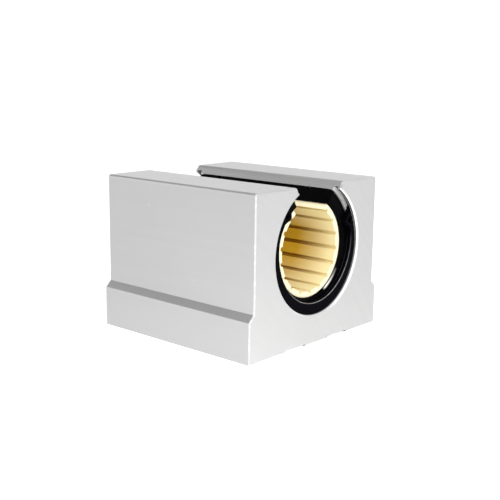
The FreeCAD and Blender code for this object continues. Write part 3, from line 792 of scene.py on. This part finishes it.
def bearing_polymer():
    """Moulded bearing polymer: cream, with fine flow lines, a painted highlight in pale cream on its end faces and
    along the slot, painted amber shade deep inside, and painted brown shade in its grooves that thins out towards the
    ends."""
    start, surface = new_finish("bearing_polymer")
    flow = grain(start, 1.0, (2600, 60, 2600), 4.0, 0.6)
    cloud = grain(start, 90.0, (1, 0.35, 1), 3.0)
    speck = grain(start, 2600.0, (1, 0.6, 1), 2.0)
    tone = (flow * 0.45 + cloud * 0.35 + speck * 0.2).ramp(0.32, 0.68)
    across, rise, reach, far = round_bore(start)
    # painted shade: amber deep inside, strongest on the sides of the bore and at mid-height, weaker towards the slot
    side = across.math("ABSOLUTE", across).ramp(0.005, 0.014)
    depth = (1.0 - (far + cloud * 0.004).ramp(0.016, 0.0305)) * (0.35 + 0.65 * side)
    depth = depth * (1.0 - rise.ramp(0.003, 0.0127))
    pale = tone.blend((0.85, 0.735, 0.395), (0.91, 0.80, 0.475))
    amber = tone.blend((0.50, 0.285, 0.012), (0.60, 0.36, 0.03))
    colour = depth.blend(pale, amber)
    # painted shade: brown in the grooves, thinning out towards the ends
    groove_shade_colour = depth.blend((0.60, 0.46, 0.20), (0.25, 0.115, 0.004))
    groove_shade = reach.ramp(0.01522, 0.0156) * (1.0 - 0.85 * far.ramp(0.017, 0.0295))
    colour = groove_shade.blend(colour, groove_shade_colour)
    # painted highlight: pale cream on the end faces and on the faces along the slot
    rim = (far + tone * 0.0002).ramp(0.0308, 0.0310)
    off_slot = across.math("ABSOLUTE", across) * 0.8434 - rise * 0.5373
    lit_faces = rim.math("MAXIMUM", rim, 1.0 - off_slot.ramp(0.00003, 0.00012))
    colour = lit_faces.blend(colour, (0.94, 0.88, 0.62))
    normal = bumped(start, flow * 0.7 + speck * 0.3, 0.000008)
    return surface(Base_Color=colour, Roughness=0.34 + 0.1 * flow + 0.05 * cloud, Normal=normal, IOR=1.2)


def black_oxide():
    """Black oxide on the set screw: dark brown-black, mottled lighter at random."""
    start, surface = new_finish("black_oxide")
    mottle = grain(start, 1500.0, (1, 1, 1), 4.0)
    colour = mottle.ramp(0.4, 0.75).blend((0.02, 0.019, 0.02), (0.075, 0.07, 0.065))
    rough = 0.3 + 0.15 * mottle
    return surface(Base_Color=colour, Metallic=0.7, Roughness=rough, Normal=bumped(start, mottle, 0.00001))


def pale_floor():
    """Matt white paper, brightest in a pool of light round the block's near corner."""
    start, surface = new_finish("pale_paper")
    fibre = grain(start, 900.0, (1, 1, 1), 4.0)
    colour = fibre.blend((0.93, 0.93, 0.93), (0.95, 0.95, 0.95))
    spot = start.node("ShaderNodeVectorMath", {"operation": "SUBTRACT"}, {0: place(start), 1: (-0.07, -0.07, 0.0)})
    away = start.node("ShaderNodeVectorMath", {"operation": "LENGTH"}, {0: spot}, 1)
    pool = (away.ramp(0.03, 0.15)).blend((1.0, 1.0, 1.0), (0.36, 0.36, 0.36))
    return surface(Base_Color=colour, Roughness=0.9, Emission_Color=pool, Emission_Strength=0.68)


# ---------------------------------------------------------------- the block

skin, sawn, cut = extruded_aluminium(), sawn_aluminium(), cut_aluminium()
make_housing(skin, sawn, cut)
make_sleeve(black_anodised())
make_liner(bearing_polymer())
# the rings' rolled edges carry the painted highlight, their flat faces none
steel = phosphated_steel("phosphated_edge", 1.0)
stamped = phosphated_steel("phosphated_face", 0.0)
make_ring("front_retaining_ring", "front_circlip", -33.85, math.radians(8.6), steel, stamped)
make_ring("rear_retaining_ring", "rear_circlip", 32.1, math.radians(-6.0), steel, stamped)
make_screw(black_oxide())


# ---------------------------------------------------------------- floor, light and camera

def make_floor():
    """A square sheet, in metres: flat near the block, then curving down out of sight by (reach - flat) squared."""
    half_side, flat, points = 4, 3, 41
    span = np.linspace(-half_side, half_side, points)
    across, along = np.meshgrid(span, span, indexing="ij")
    beyond = np.maximum(np.hypot(across, along) - flat, 0)
    grid = np.stack([across, along, -beyond ** 2], axis=-1)
    index = np.arange(points * points).reshape(points, points)
    quads = np.stack([index[:-1, :-1], index[1:, :-1], index[1:, 1:], index[:-1, 1:]], axis=-1).reshape(-1, 4)
    mesh = bpy.data.meshes.new("floor")
    mesh.from_pydata(grid.reshape(-1, 3).tolist(), [], quads.tolist())
    mesh.materials.append(pale_floor())
    floor = bpy.data.objects.new("floor", mesh)
    bpy.context.scene.collection.objects.link(floor)


def hang_lamp(name, kind, place_at, aim, power):
    """A lamp at a place, facing a point, both in metres. Gives back its settings."""
    lamp = bpy.data.lights.new(name, kind)
    lamp.energy = power
    holder = bpy.data.objects.new(name, lamp)
    holder.location = place_at
    heading = np.array(aim) - np.array(place_at)
    flat = math.hypot(heading[0], heading[1])
    holder.rotation_euler = (math.atan2(flat, -heading[2]), 0, math.atan2(heading[1], heading[0]) - math.pi / 2)
    bpy.context.scene.collection.objects.link(holder)
    return lamp


def light_room():
    """A pale room: bright round its sides and dark overhead, so that level faces stay quiet.

    The stops are pairs (upward part of the direction, grey).
    """
    world = bpy.data.worlds.new("pale_room")
    world.use_nodes = True
    world.node_tree.nodes.clear()
    start = Wire(world.node_tree)
    toward = start.node("ShaderNodeTexCoord")
    rise = start.node("ShaderNodeSeparateXYZ", None, {0: toward}, 2)
    stops = [(0.0, 0.58), (0.15, 0.94), (0.35, 0.98), (0.6, 0.01), (1.0, 0.08)]
    glow = rise.node("ShaderNodeValToRGB", {"stops": stops}, {0: rise})
    sky = start.node("ShaderNodeBackground", None, {"Color": glow, "Strength": 1.85})
    start.node("ShaderNodeOutputWorld", None, {"Surface": sky})
    bpy.context.scene.world = world


def place_camera():
    """A long lens, a little above the block and left of its front end."""
    lens = bpy.data.cameras.new("camera")
    lens.lens = 64.38
    lens.clip_start = 0.01
    camera = bpy.data.objects.new("camera", lens)
    camera.location = (-0.23993, -0.21292, 0.09324)
    camera.rotation_euler = (1.368853, -0.012983, -0.851299)
    bpy.context.scene.collection.objects.link(camera)
    bpy.context.scene.camera = camera


make_floor()
light_room()
hang_lamp("overhead", "SUN", place_at=(0, 0, 1.5), aim=(0, 0, 0), power=1.16).angle = math.radians(80)
hang_lamp("softbox", "AREA", place_at=(-0.28, -0.28, 0.5), aim=(-0.2, -0.2, 0), power=1.9).size = 0.4
place_camera()
bpy.context.scene.view_settings.view_transform = "Standard"
